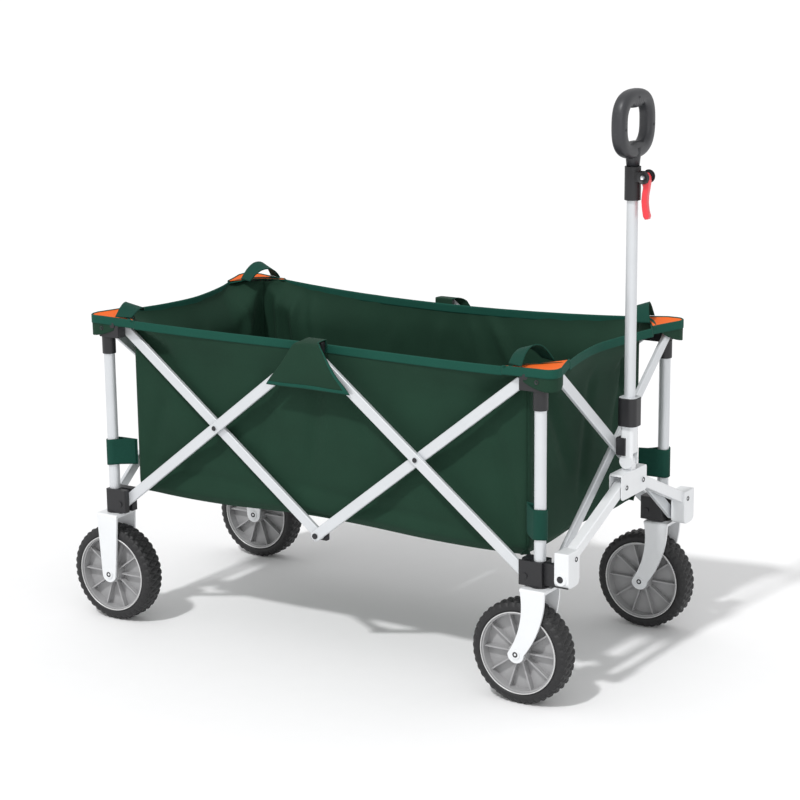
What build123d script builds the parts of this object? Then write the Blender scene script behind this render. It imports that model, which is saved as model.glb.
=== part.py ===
from build123d import *
import os

# Folding camp wagon, in millimetres. +X is the end with the handle, +Z is up, the ground is Z = 0, and the
# origin is on the ground under the middle of the frame. "right" is the -Y side, "left" is the +Y side.

# Corner posts: a fixed tube with a stay that slides out of it as the frame folds
post_spacing_x = 885.0
post_spacing_y = 452.0
post_od = 20.0
post_wall = 1.5
post_bottom = 210.0
post_top = 525.0
stay_wall = 1.2
stay_engaged = 209.0
collar_od = 24.5
collar_length = 26.0
collar_lip = 6.0

# Scissor bars: every bar is equally long, so the long and the short sides fold by the same angle
low_pivot_z = 222.0
scissor_rise = 332.0
side_pivot_inset = 21.0
bar_width = 19.0
bar_thickness = 8.0
bar_wall = 1.2
bar_gap = 0.8
layer_outset = 6.2
rivet_radius = 3.0
head_radius = 5.0
head_height = 1.5

# Plastic corner brackets
bracket_outer_x = 10.4
bracket_inner_x = 33.0
bracket_outer_y = 14.0
bracket_inner_y = 22.0
bracket_round = 2.0
low_bracket_bottom = 206.0
low_bracket_top = 248.0
top_bracket_height = 33.6
bolt_start = 8.0
washer_radius = 16.0
washer_height = 2.0

# Wheels, forks and casters
wheel_radius = 89.0
tyre_width = 44.0
tyre_height = 18.0
tyre_round = 9.0
hub_width = 38.0
hub_rim = 5.0
hub_boss_radius = 17.0
hub_web = 4.0
rib_count = 10
rib_thickness = 2.6
rib_width = 26.0
axle_radius = 6.0
wheel_side_gap = 2.0
fork_leg = 4.0
fork_width_x = 46.0
fork_crown = 5.0
fork_top = 203.6
axle_boss_radius = 15.0
caster_trail = 30.0
kingpin_radius = 6.0
kingpin_head_radius = 7.5
kingpin_head_height = 3.0

# Handle linkage at the front end
link_centre_x = 44.0
link_thickness = 18.0
link_plate = 2.0
link_low_y = 17.0
link_low_z = 254.0
link_high_y = 31.0
link_high_z = 331.0
tongue_low_y = 4.8
tongue_high_y = 5.2
clevis_wall = 3.0
clevis_bottom = 208.0
clevis_top = 268.0
clevis_inner_y = 30.0
clevis_bolt_z = 231.0
base_half_width = 46.0
base_bottom = 311.0
base_top = 355.0
base_web = 3.0

# Telescoping handle
handle_x = 45.0
tilt_z = 370.0
tilt_pin_radius = 4.0
base_tube_width = 24.0
base_tube_round = 6.0
base_tube_top = 431.0
fork_cut_half = 8.0
fork_cut_top = 385.0
handle_tongue_radius = 9.0
handle_collar_width = 34.0
handle_collar_top = 480.0
outer_tube_od = 19.0
outer_tube_bottom = 390.0
outer_tube_top = 850.0
handle_tube_wall = 1.8
inner_tube_bottom = 560.0
inner_tube_wall = 1.5
neck_od = 27.0
neck_bottom = 811.0
neck_top = 866.0
lever_pivot_x = 24.0
lever_pivot_z = 850.0
lever_boss_radius = 7.0
lever_width = 14.0
lever_ear = 3.0
grip_centre_z = 936.0
grip_ring_radius = 45.5
grip_bar_radius = 12.5
grip_stem_od = 22.0
grip_socket = 14.0
clip_plate = 2.1
clip_arm = 3.0
clip_bottom = 381.0
clip_top = 411.0

# Fabric bag and its floor boards
bag_inset_x = 36.0
bag_inset_y = 25.0
bag_bottom = 250.0
bag_top = 567.0
cloth = 2.0
board_thickness = 4.0
board_margin = 6.0

# Clearances between pieces that move on each other
running = 0.05
apart = 0.4
telescope = 0.4

# Worked out from the sizes above
post_x = post_spacing_x / 2
post_y = post_spacing_y / 2
bar_run = post_x - side_pivot_inset
end_pivot_inset = (post_spacing_y - bar_run) / 2
top_pivot_z = low_pivot_z + scissor_rise
cross_z = low_pivot_z + scissor_rise / 2
layer_pitch = bar_thickness + bar_gap
side_layers = [layer_outset - layer_pitch * n for n in range(3)]
end_layers = [post_od / 2 + bar_gap + bar_thickness / 2 + layer_pitch * n for n in range(2)]
post_id = post_od - 2 * post_wall
stay_od = post_id - 2 * telescope
top_bracket_bottom = post_top + collar_lip + apart
inner_tube_od = outer_tube_od - 2 * handle_tube_wall - 2 * telescope
fork_inner = tyre_width / 2 + wheel_side_gap
fork_outer = fork_inner + fork_leg
link_rear_x = link_centre_x - link_thickness / 2 - 1.0
link_front_x = link_centre_x + link_thickness / 2 + 1.0

corners = {
    "front_right": (1, -1),
    "front_left": (1, 1),
    "rear_right": (-1, -1),
    "rear_left": (-1, 1),
}
sides = {"right": -1, "left": 1}
ends = {"front": 1, "rear": -1}
rise_layer = {"front": 0, "rear": 1}
fall_layer = {"front": 1, "rear": 2}

os.makedirs("parts", exist_ok=True)


def save(name, *pieces):
    """Writes one node: a single solid, or a group of separate solids."""
    solids = [solid for piece in pieces for solid in piece.solids()]
    node = solids[0] if len(solids) == 1 else Compound(children=solids)
    node.label = name
    export_step(node, f"parts/{name}.step")


def block(xs, ys, zs, mode=Mode.ADD):
    """A box between two planes each way."""
    with Locations((sum(xs) / 2, sum(ys) / 2, sum(zs) / 2)):
        Box(abs(xs[1] - xs[0]), abs(ys[1] - ys[0]), abs(zs[1] - zs[0]), mode=mode)


def corner_x(sx, outward):
    return sx * (post_x + outward)


def corner_y(sy, outward):
    return sy * (post_y + outward)


def corner_block(corner, xs, ys, zs, mode=Mode.ADD):
    """A box beside a post, with X and Y counted outwards from the post's axis."""
    sx, sy = corner
    block([corner_x(sx, x) for x in xs], [corner_y(sy, y) for y in ys], zs, mode)


def rod(start, end, radius, mode=Mode.ADD):
    """A round bar or, with Mode.SUBTRACT, a round hole between two points."""
    line = Vector(*end) - Vector(*start)
    with Locations(Plane(origin=start, z_dir=line)):
        Cylinder(radius, line.length, align=(Align.CENTER, Align.CENTER, Align.MIN), mode=mode)


def pipe(start, end, outer_radius, wall):
    """A straight round tube."""
    line = Vector(*end) - Vector(*start)
    with BuildPart() as tube:
        with BuildSketch(Plane(origin=start, z_dir=line)):
            Circle(outer_radius)
            Circle(outer_radius - wall, mode=Mode.SUBTRACT)
        extrude(amount=line.length)
    return tube.part


def pin(start, end, radius=rivet_radius, heads=(True, True)):
    """A rivet or bolt: a shank between two points, with a low head past each end that has one."""
    line = (Vector(*end) - Vector(*start)).normalized()
    with BuildPart() as shank:
        rod(start, end, radius)
        if heads[0]:
            rod(Vector(*start) - line * head_height, start, radius + head_radius - rivet_radius)
        if heads[1]:
            rod(end, Vector(*end) + line * head_height, radius + head_radius - rivet_radius)
    return shank.part


def flat_bar(start, end, normal, thickness=bar_thickness, cross_radius=None, width=bar_width, wall=bar_wall):
    """A flat tube with rounded ends and a pivot hole at each end, and one halfway if cross_radius is given."""
    start, end, normal = Vector(*start), Vector(*end), Vector(*normal)
    line = end - start
    middle = start + line / 2
    flat = Plane(origin=middle, x_dir=line, z_dir=normal)
    with BuildPart() as bar:
        with BuildSketch(flat):
            SlotCenterToCenter(line.length, width)
        extrude(amount=thickness / 2, both=True)
        faces = bar.faces().filter_by(lambda face: abs(face.normal_at().dot(normal)) > 0.99)
        fillet(faces.edges(), 2.0)
        with BuildSketch(Plane(origin=middle, x_dir=normal, z_dir=line)):
            RectangleRounded(thickness - 2 * wall, width - 2 * wall, 0.8)
        extrude(amount=line.length / 2 + width, both=True, mode=Mode.SUBTRACT)
        reach = normal * thickness
        for place in (start, end):
            rod(place - reach, place + reach, rivet_radius + running, Mode.SUBTRACT)
        if cross_radius:
            rod(middle - reach, middle + reach, cross_radius, Mode.SUBTRACT)
    return bar.part


# Corner posts, their collars and the sliding stays ------------------------------------------------
def post_with_collar(corner):
    x, y = corner_x(corner[0], 0), corner_y(corner[1], 0)
    collar_bottom = post_top - collar_length
    with BuildPart() as collar:
        rod((x, y, collar_bottom), (x, y, post_top + collar_lip), collar_od / 2)
        rod((x, y, collar_bottom), (x, y, post_top), post_od / 2, Mode.SUBTRACT)
        rod((x, y, post_top), (x, y, post_top + collar_lip), post_id / 2, Mode.SUBTRACT)
        chamfer(collar.edges().group_by(Axis.Z)[0].filter_by(GeomType.CIRCLE).sort_by(SortBy.RADIUS)[-1], 0.8)
    return pipe((x, y, post_bottom), (x, y, post_top), post_od / 2, post_wall), collar.part


def side_bolt(corner, z):
    x = corner_x(corner[0], -side_pivot_inset)
    inner, outer = corner_y(corner[1], -bracket_inner_y), corner_y(corner[1], bracket_outer_y)
    return pin((x, inner, z), (x, outer, z))


def end_bolt(corner, z, layer):
    """The bolt that the end bar turns on, with the spacer behind an outer bar."""
    y = corner_y(corner[1], -end_pivot_inset)
    face = end_layers[layer] + bar_thickness / 2 + apart
    start = (corner_x(corner[0], -bolt_start), y, z)
    bolt = pin(start, (corner_x(corner[0], face), y, z), heads=(False, True))
    if layer == 0:
        return (bolt,)
    back = end_layers[layer] - bar_thickness / 2 - apart
    spacer = pipe(
        (corner_x(corner[0], bracket_outer_x), y, z),
        (corner_x(corner[0], back), y, z),
        head_radius,
        head_radius - rivet_radius,
    )
    return bolt, spacer


def bracket_body(corner, bottom, top, bolt_z, layer):
    """The block round a post, slotted for its side bar and drilled for the bars' bolts. Runs in a builder."""
    x, y = corner_x(corner[0], 0), corner_y(corner[1], 0)
    corner_block(
        corner, (-bracket_inner_x, bracket_outer_x), (-bracket_inner_y, bracket_outer_y), (bottom, top)
    )
    fillet(edges().filter_by(Axis.Z), bracket_round)
    slot_end = side_pivot_inset - bar_width / 2 - apart * 0.75
    half = bar_thickness / 2 + apart
    centre = side_layers[layer]
    corner_block(
        corner, (-bracket_inner_x - 1, -slot_end), (centre - half, centre + half), (bottom - 1, top + 1),
        Mode.SUBTRACT,
    )
    hinge_x = corner_x(corner[0], -side_pivot_inset)
    rod(
        (hinge_x, corner_y(corner[1], -bracket_inner_y), bolt_z),
        (hinge_x, corner_y(corner[1], bracket_outer_y), bolt_z),
        rivet_radius,
        Mode.SUBTRACT,
    )
    end_y = corner_y(corner[1], -end_pivot_inset)
    rod(
        (corner_x(corner[0], -bolt_start), end_y, bolt_z),
        (corner_x(corner[0], bracket_outer_x), end_y, bolt_z),
        rivet_radius,
        Mode.SUBTRACT,
    )
    return x, y


def low_bracket(name, corner):
    end = name.split("_")[0]
    with BuildPart() as bracket:
        x, y = bracket_body(corner, low_bracket_bottom, low_bracket_top, low_pivot_z, rise_layer[end])
        rod((x, y, low_bracket_bottom - washer_height), (x, y, low_bracket_bottom), washer_radius)
        rod((x, y, post_bottom), (x, y, low_bracket_top), post_od / 2, Mode.SUBTRACT)
        if end == "front":
            rod(
                (x, y, low_bracket_bottom - washer_height), (x, y, post_bottom),
                kingpin_radius + running, Mode.SUBTRACT,
            )
            corner_block(
                corner, (bracket_outer_x, link_front_x), (-tongue_low_y, tongue_high_y),
                (clevis_bottom, low_bracket_top - 2),
            )
            bolt_x = corner_x(corner[0], link_centre_x - 6)
            rod(
                (bolt_x, corner_y(corner[1], -tongue_low_y), clevis_bolt_z),
                (bolt_x, corner_y(corner[1], tongue_high_y), clevis_bolt_z),
                rivet_radius,
                Mode.SUBTRACT,
            )
    layer = 0 if corner[1] < 0 else 1
    return bracket.part, side_bolt(corner, low_pivot_z), *end_bolt(corner, low_pivot_z, layer)


def top_bracket(name, corner):
    end = name.split("_")[0]
    top = top_bracket_bottom + top_bracket_height
    with BuildPart() as bracket:
        x, y = bracket_body(corner, top_bracket_bottom, top, top_pivot_z, fall_layer[end])
        rod((x, y, top_bracket_bottom), (x, y, top - 5), stay_od / 2, Mode.SUBTRACT)
        fillet(bracket.faces().sort_by(Axis.Z)[-1].outer_wire().edges(), 1.5)
    stay = pipe((x, y, post_top - stay_engaged), (x, y, top - 5), stay_od / 2, stay_wall)
    layer = 1 if corner[1] < 0 else 0
    return bracket.part, stay, side_bolt(corner, top_pivot_z), *end_bolt(corner, top_pivot_z, layer)


for name, corner in corners.items():
    save(f"post_{name}", *post_with_collar(corner))
    save(f"lower_bracket_{name}", *low_bracket(name, corner))
    save(f"top_bracket_{name}", *top_bracket(name, corner))


# Scissor bars and the hubs where they meet halfway along each side --------------------------------
def cross_rivet(x, sy, outer, inner):
    """The rivet of a side crossing: tight in the outer bar, running in the inner one."""
    reach = bar_thickness / 2 + apart
    return pin(
        (x, corner_y(sy, side_layers[inner] - reach), cross_z),
        (x, corner_y(sy, side_layers[outer] + reach - apart), cross_z),
    )


for side, sy in sides.items():
    for end, sx in ends.items():
        hinge_x = sx * bar_run
        rise, fall = rise_layer[end], fall_layer[end]
        rise_y, fall_y = corner_y(sy, side_layers[rise]), corner_y(sy, side_layers[fall])
        rising = flat_bar(
            (hinge_x, rise_y, low_pivot_z), (0, rise_y, top_pivot_z), (0, sy, 0), cross_radius=rivet_radius
        )
        falling = flat_bar(
            (hinge_x, fall_y, top_pivot_z), (0, fall_y, low_pivot_z), (0, sy, 0),
            cross_radius=rivet_radius + running,
        )
        save(f"side_bar_{side}_{end}_rise", rising, cross_rivet(hinge_x / 2, sy, rise, fall))
        save(f"side_bar_{side}_{end}_fall", falling)


def mid_hub(sy, z, outer, inner, depth, height):
    """A block behind two bar ends, and the rivet that both turn on."""
    back = side_layers[inner] - bar_thickness / 2 - apart
    front = side_layers[outer] + bar_thickness / 2 + apart
    with BuildPart() as hub:
        block(
            (-1.6 * bar_width / 2, 1.6 * bar_width / 2),
            (corner_y(sy, back - depth), corner_y(sy, back)),
            (z - height / 2, z + height / 2),
        )
        fillet(hub.edges().filter_by(Axis.Y), 4)
        rod((0, corner_y(sy, back - depth), z), (0, corner_y(sy, back), z), rivet_radius, Mode.SUBTRACT)
    return hub.part, pin((0, corner_y(sy, back - depth), z), (0, corner_y(sy, front), z), heads=(False, True))


for side, sy in sides.items():
    save(f"top_hub_{side}", *mid_hub(sy, top_pivot_z, 0, 1, 11.0, 22.0))
    save(f"bottom_hub_{side}", *mid_hub(sy, low_pivot_z, 1, 2, 5.0, 22.0))

for end, sx in ends.items():
    pivot_y = bar_run / 2
    outer_x, inner_x = corner_x(sx, end_layers[1]), corner_x(sx, end_layers[0])
    outer = flat_bar(
        (outer_x, -pivot_y, top_pivot_z), (outer_x, pivot_y, low_pivot_z), (sx, 0, 0),
        cross_radius=rivet_radius,
    )
    inner = flat_bar(
        (inner_x, -pivot_y, low_pivot_z), (inner_x, pivot_y, top_pivot_z), (sx, 0, 0),
        cross_radius=rivet_radius + running,
    )
    back = end_layers[0] - bar_thickness / 2 - apart
    front = end_layers[1] + bar_thickness / 2
    if end == "front":
        front += 2 * apart + clip_plate
    rivet = pin((corner_x(sx, back), 0, cross_z), (corner_x(sx, front), 0, cross_z))
    save(f"end_bar_{end}_outer", outer, rivet)
    save(f"end_bar_{end}_inner", inner)


# Wheels and forks ---------------------------------------------------------------------------------
def wheel_hub(x, y):
    rim_radius = wheel_radius - tyre_height
    axis = Plane(origin=(x, y, wheel_radius), x_dir=(1, 0, 0), z_dir=(0, -1, 0))
    with BuildPart() as hub:
        with BuildSketch(axis.offset(-hub_width / 2)):
            Circle(rim_radius)
            Circle(rim_radius - hub_rim, mode=Mode.SUBTRACT)
        extrude(amount=hub_width)
        with BuildSketch(axis.offset(-hub_web / 2)):
            Circle(rim_radius - hub_rim / 2)
        extrude(amount=hub_web)
        with BuildSketch(axis.offset(-rib_width / 2)):
            with PolarLocations((rim_radius - hub_rim / 2) / 2, rib_count):
                Rectangle(rim_radius - hub_rim / 2, rib_thickness)
        extrude(amount=rib_width)
        with BuildSketch(axis.offset(-tyre_width / 2)):
            Circle(hub_boss_radius)
        extrude(amount=tyre_width)
        with BuildSketch(axis.offset(-tyre_width / 2)):
            Circle(axle_radius + running)
        extrude(amount=tyre_width, mode=Mode.SUBTRACT)
    return hub.part


def tyre(x, y):
    half, rim_radius = tyre_width / 2, wheel_radius - tyre_height
    axis = Plane(origin=(x, y, wheel_radius), x_dir=(1, 0, 0), z_dir=(0, -1, 0))
    with BuildPart() as ring:
        with BuildSketch(axis.offset(-half)):
            Circle(wheel_radius)
            Circle(rim_radius, mode=Mode.SUBTRACT)
        extrude(amount=tyre_width)
        circles = ring.edges().filter_by(GeomType.CIRCLE).sort_by(SortBy.RADIUS)
        fillet(circles[-2:], tyre_round)
    return ring.part


def fork(x, y, trail):
    """Crown and two legs round a wheel that runs a trail behind the post's axis."""
    half = fork_width_x / 2
    boss_x, boss_r = -trail, axle_boss_radius
    with BuildPart() as body:
        for leg_side in (-1, 1):
            leg_plane = Plane(origin=(x, y + leg_side * fork_inner, 0), x_dir=(1, 0, 0), z_dir=(0, -1, 0))
            with BuildSketch(leg_plane) as leg:
                with BuildLine():
                    left = Spline(
                        (-half, fork_top), (-half * 0.82 - trail * 0.1, fork_top * 0.72),
                        (boss_x - boss_r, wheel_radius),
                    )
                    bottom = ThreePointArc(
                        left @ 1, (boss_x, wheel_radius - boss_r), (boss_x + boss_r, wheel_radius)
                    )
                    right = Spline(bottom @ 1, (half * 0.86 - trail * 0.16, fork_top * 0.72), (half, fork_top))
                    Line(right @ 1, left @ 0)
                make_face()
            extrude(amount=-leg_side * fork_leg)
        block((x - half, x + half), (y - fork_outer, y + fork_outer), (fork_top - fork_crown, fork_top))
        crown_edges = body.edges().group_by(Axis.Z)[-1].filter_by(Axis.X)
        fillet(crown_edges, fork_crown * 0.8)
        rod(
            (x - trail, y - fork_outer - 1, wheel_radius), (x - trail, y + fork_outer + 1, wheel_radius),
            axle_radius, Mode.SUBTRACT,
        )
    return body.part


def kingpin(x, y):
    """The post that a caster swivels on: it hangs by its head from the floor of the bracket."""
    head = post_bottom + apart
    with BuildPart() as post:
        rod((x, y, fork_top), (x, y, head), kingpin_radius)
        rod((x, y, head), (x, y, head + kingpin_head_height), kingpin_head_radius)
    return post.part


for name, (sx, sy) in corners.items():
    x, y = sx * post_x, sy * post_y
    trail = caster_trail if sx > 0 else 0.0
    axle = pin(
        (x - trail, y - fork_outer, wheel_radius), (x - trail, y + fork_outer, wheel_radius), axle_radius
    )
    extras = [kingpin(x, y)] if sx > 0 else []
    save(f"fork_{name}", fork(x, y, trail), axle, *extras)
    save(f"wheel_hub_{name}", wheel_hub(x - trail, y))
    save(f"tyre_{name}", tyre(x - trail, y))


# Link arms between the front corners and the handle's base ----------------------------------------
def clevis(corner):
    """The steel fork, bolted to the bracket's tongue, that a link arm turns in."""
    rear, front = link_rear_x - link_plate, link_front_x + link_plate
    outer_y = tongue_high_y + clevis_wall
    bolt_x = corner_x(corner[0], link_centre_x - 6)
    with BuildPart() as body:
        corner_block(corner, (rear, front), (-clevis_inner_y, outer_y), (clevis_bottom, clevis_top))
        fillet(body.edges().filter_by(Axis.X), 4)
        corner_block(
            corner, (link_rear_x, link_front_x), (-clevis_inner_y - 1, tongue_high_y),
            (clevis_bottom - 1, clevis_top + 1), Mode.SUBTRACT,
        )
        corner_block(
            corner, (rear - 1, link_rear_x), (-tongue_low_y, tongue_high_y),
            (clevis_bottom - 1, low_bracket_top - 2), Mode.SUBTRACT,
        )
        arm_y = corner_y(corner[1], -link_low_y)
        rod(
            (corner_x(corner[0], rear), arm_y, link_low_z), (corner_x(corner[0], front), arm_y, link_low_z),
            rivet_radius, Mode.SUBTRACT,
        )
        rod(
            (bolt_x, corner_y(corner[1], tongue_high_y), clevis_bolt_z),
            (bolt_x, corner_y(corner[1], outer_y), clevis_bolt_z),
            rivet_radius, Mode.SUBTRACT,
        )
    arm_bolt = pin((corner_x(corner[0], rear), arm_y, link_low_z), (corner_x(corner[0], front), arm_y, link_low_z))
    tongue_bolt = pin(
        (bolt_x, corner_y(corner[1], -tongue_low_y), clevis_bolt_z),
        (bolt_x, corner_y(corner[1], outer_y), clevis_bolt_z),
        heads=(False, True),
    )
    return body.part, arm_bolt, tongue_bolt


link_x = post_x + link_centre_x
for side, sy in sides.items():
    save(f"clevis_{side}", *clevis((1, sy)))
    arm = flat_bar(
        (link_x, sy * (post_y - link_low_y), link_low_z), (link_x, sy * link_high_y, link_high_z), (1, 0, 0),
        thickness=link_thickness, wall=1.8,
    )
    save(f"link_arm_{side}", arm)

# Handle base: a channel over both arms' ends, with the tongue that the handle tilts on
rear_x, front_x = post_x + link_rear_x - link_plate, post_x + link_front_x + link_plate
axis_x = post_x + handle_x
with BuildPart() as handle_base:
    block((rear_x, front_x), (-base_half_width, base_half_width), (base_bottom, base_top))
    fillet(handle_base.edges().filter_by(Axis.X), 5)
    block(
        (rear_x + link_plate, front_x - link_plate), (-base_half_width - 1, base_half_width + 1),
        (base_bottom - 1, base_top - base_web), Mode.SUBTRACT,
    )
    with BuildSketch(Plane(origin=(axis_x, 0, 0), x_dir=(1, 0, 0), z_dir=(0, -1, 0))):
        with Locations((0, tilt_z)):
            Circle(handle_tongue_radius)
        with Locations((0, (base_top - 1 + tilt_z) / 2)):
            Rectangle(2 * handle_tongue_radius, tilt_z - base_top + 1)
        with Locations((0, tilt_z)):
            Circle(tilt_pin_radius + running, mode=Mode.SUBTRACT)
    extrude(amount=fork_cut_half - apart, both=True)
    for sy in sides.values():
        rod(
            (front_x - link_plate, sy * link_high_y, link_high_z), (front_x, sy * link_high_y, link_high_z),
            rivet_radius, Mode.SUBTRACT,
        )
base_screws = [
    pin(
        (front_x - link_plate, sy * link_high_y, link_high_z), (front_x, sy * link_high_y, link_high_z),
        heads=(False, True),
    )
    for sy in sides.values()
]
save("handle_base", handle_base.part, *base_screws)

# Clip on the front crossing that holds the handle upright
clip_rear = post_x + end_layers[1] + bar_thickness / 2 + apart
with BuildPart() as clip:
    arm_inner = base_tube_width / 2 + apart
    block((clip_rear, axis_x), (-arm_inner - clip_arm, arm_inner + clip_arm), (clip_bottom, clip_top))
    fillet(clip.edges().filter_by(Axis.Z), 1.0)
    block(
        (clip_rear + clip_plate, axis_x + 1), (-arm_inner, arm_inner), (clip_bottom - 1, clip_top + 1),
        Mode.SUBTRACT,
    )
    rod((clip_rear, 0, cross_z), (clip_rear + clip_plate, 0, cross_z), rivet_radius + running, Mode.SUBTRACT)
save("handle_clip", clip.part)


# Telescoping handle -------------------------------------------------------------------------------
base_round = base_tube_width / 2
with BuildPart() as base_tube:
    with BuildSketch(Plane.XY.offset(tilt_z)):
        with Locations((axis_x, 0)):
            RectangleRounded(base_tube_width, base_tube_width, base_tube_round)
    extrude(amount=base_tube_top - tilt_z)
    with BuildSketch(Plane(origin=(axis_x, 0, tilt_z), x_dir=(1, 0, 0), z_dir=(0, -1, 0))):
        Circle(base_round)
    extrude(amount=base_tube_width / 2, both=True)
    block(
        (axis_x - base_tube_width, axis_x + base_tube_width), (-fork_cut_half, fork_cut_half),
        (tilt_z - base_tube_width, fork_cut_top), Mode.SUBTRACT,
    )
    rod((axis_x, 0, outer_tube_bottom), (axis_x, 0, base_tube_top), outer_tube_od / 2, Mode.SUBTRACT)
    rod(
        (axis_x, -base_tube_width, tilt_z), (axis_x, base_tube_width, tilt_z), tilt_pin_radius, Mode.SUBTRACT
    )
tilt_pin = pin(
    (axis_x, -base_round, tilt_z), (axis_x, base_round, tilt_z), tilt_pin_radius, heads=(False, False)
)
save("handle_base_tube", base_tube.part, tilt_pin)

with BuildPart() as handle_collar:
    with BuildSketch(Plane.XY.offset(base_tube_top)):
        with Locations((axis_x, 0)):
            RectangleRounded(handle_collar_width, handle_collar_width, 11)
            Circle(outer_tube_od / 2, mode=Mode.SUBTRACT)
    extrude(amount=handle_collar_top - base_tube_top)
    chamfer(handle_collar.faces().sort_by(Axis.Z)[-1].outer_wire().edges(), 1.5)
outer_tube = pipe(
    (axis_x, 0, outer_tube_bottom), (axis_x, 0, outer_tube_top), outer_tube_od / 2, handle_tube_wall
)
save("handle_outer_tube", outer_tube, handle_collar.part)

neck_bore = outer_tube_od / 2 - handle_tube_wall
ear_inner = lever_width / 2 + apart
ear_outer = ear_inner + lever_ear
lever_x = axis_x + lever_pivot_x
with BuildPart() as neck:
    rod((axis_x, 0, neck_bottom), (axis_x, 0, neck_top), neck_od / 2)
    with BuildSketch(Plane(origin=(lever_x, 0, 0), x_dir=(1, 0, 0), z_dir=(0, -1, 0))):
        with Locations((0, lever_pivot_z)):
            Circle(lever_boss_radius + 1)
        with Locations((-lever_pivot_x / 2, lever_pivot_z)):
            Rectangle(lever_pivot_x, 2 * lever_boss_radius + 2)
    extrude(amount=ear_outer, both=True)
    block(
        (axis_x + neck_od / 2, lever_x + 2 * lever_boss_radius), (-ear_inner, ear_inner),
        (neck_bottom, neck_top), Mode.SUBTRACT,
    )
    rod((axis_x, 0, neck_bottom), (axis_x, 0, outer_tube_top), outer_tube_od / 2, Mode.SUBTRACT)
    rod((axis_x, 0, outer_tube_top), (axis_x, 0, neck_top), neck_bore, Mode.SUBTRACT)
    rod((lever_x, -ear_outer, lever_pivot_z), (lever_x, ear_outer, lever_pivot_z), rivet_radius, Mode.SUBTRACT)
lever_pin = pin((lever_x, -ear_outer, lever_pivot_z), (lever_x, ear_outer, lever_pivot_z))
save("handle_neck_clamp", neck.part, lever_pin)

with BuildPart() as lever:
    with BuildSketch(Plane(origin=(lever_x, 0, lever_pivot_z), x_dir=(1, 0, 0), z_dir=(0, -1, 0))):
        with BuildLine():
            back = Spline((-6.5, 2), (-7, -16), (-3, -40), (-6, -66))
            foot = Line(back @ 1, (5, -70))
            front = Spline(foot @ 1, (8, -42), (6, -18), (6.9, 1))
            Line(front @ 1, back @ 0)
        make_face()
        Circle(lever_boss_radius)
        Circle(rivet_radius + running, mode=Mode.SUBTRACT)
    extrude(amount=lever_width / 2, both=True)
save("release_lever", lever.part)

stem_bottom = neck_top + apart
inner_tube_top = stem_bottom + grip_socket
save(
    "handle_inner_tube",
    pipe((axis_x, 0, inner_tube_bottom), (axis_x, 0, inner_tube_top), inner_tube_od / 2, inner_tube_wall),
)
with BuildPart() as grip:
    with Locations(Location((axis_x, 0, grip_centre_z), (0, 90, 0))):
        Torus(grip_ring_radius, grip_bar_radius)
    rod((axis_x, 0, stem_bottom), (axis_x, 0, grip_centre_z - grip_ring_radius), grip_stem_od / 2)
    rod((axis_x, 0, stem_bottom), (axis_x, 0, inner_tube_top), inner_tube_od / 2, Mode.SUBTRACT)
save("handle_grip", grip.part)


# Fabric bag and floor boards ----------------------------------------------------------------------
bag_x = post_x - bag_inset_x
bag_y = post_y - bag_inset_y
for side, sy in sides.items():
    with BuildPart() as panel:
        block((-bag_x, bag_x), (sy * (bag_y - cloth), sy * bag_y), (bag_bottom, bag_top))
    save(f"bag_side_{side}", panel.part)
for end, sx in ends.items():
    with BuildPart() as panel:
        block((sx * (bag_x + apart), sx * (bag_x + apart + cloth)), (-bag_y, bag_y), (bag_bottom, bag_top))
    save(f"bag_end_{end}", panel.part)
    floor_y = bag_y - cloth - apart
    with BuildPart() as floor:
        block((sx * apart / 2, sx * bag_x), (-floor_y, floor_y), (bag_bottom, bag_bottom + cloth))
    save(f"bag_floor_{end}", floor.part)
    board_bottom = bag_bottom + cloth + apart
    board_y = floor_y - board_margin
    board_length = (bag_x - 3 * board_margin) / 2
    with BuildPart() as boards:
        for start in (board_margin, board_length + 2 * board_margin):
            block(
                (sx * start, sx * (start + board_length)), (-board_y, board_y),
                (board_bottom, board_bottom + board_thickness),
            )
        fillet(boards.edges().filter_by(Axis.Z), board_margin)
    save(f"floor_boards_{end}", boards.part)
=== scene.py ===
import math

import bmesh
import bpy
from mathutils import Matrix, Vector, noise


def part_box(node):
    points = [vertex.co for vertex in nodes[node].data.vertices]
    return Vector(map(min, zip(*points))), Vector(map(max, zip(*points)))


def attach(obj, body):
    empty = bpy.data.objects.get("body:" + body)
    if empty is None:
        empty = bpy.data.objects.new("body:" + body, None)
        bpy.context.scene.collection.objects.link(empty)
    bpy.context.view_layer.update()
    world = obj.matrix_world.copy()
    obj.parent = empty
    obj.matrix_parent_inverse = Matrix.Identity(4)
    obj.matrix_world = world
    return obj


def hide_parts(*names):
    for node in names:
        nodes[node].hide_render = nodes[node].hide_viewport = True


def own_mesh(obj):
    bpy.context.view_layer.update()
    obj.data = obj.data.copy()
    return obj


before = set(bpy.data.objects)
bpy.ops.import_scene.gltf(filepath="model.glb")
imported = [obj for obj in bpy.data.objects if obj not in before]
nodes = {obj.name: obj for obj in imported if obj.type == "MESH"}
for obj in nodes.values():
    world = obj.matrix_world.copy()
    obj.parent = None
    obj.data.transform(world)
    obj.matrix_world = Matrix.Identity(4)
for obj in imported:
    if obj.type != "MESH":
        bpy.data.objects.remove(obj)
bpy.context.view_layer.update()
print("frame loaded:", len(nodes), "nodes")

cornerSigns = {"front_right": (1, -1), "front_left": (1, 1), "rear_right": (-1, -1), "rear_left": (-1, 1)}
sideSigns = {"right": -1, "left": 1}
endSigns = {"front": 1, "rear": -1}


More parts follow.
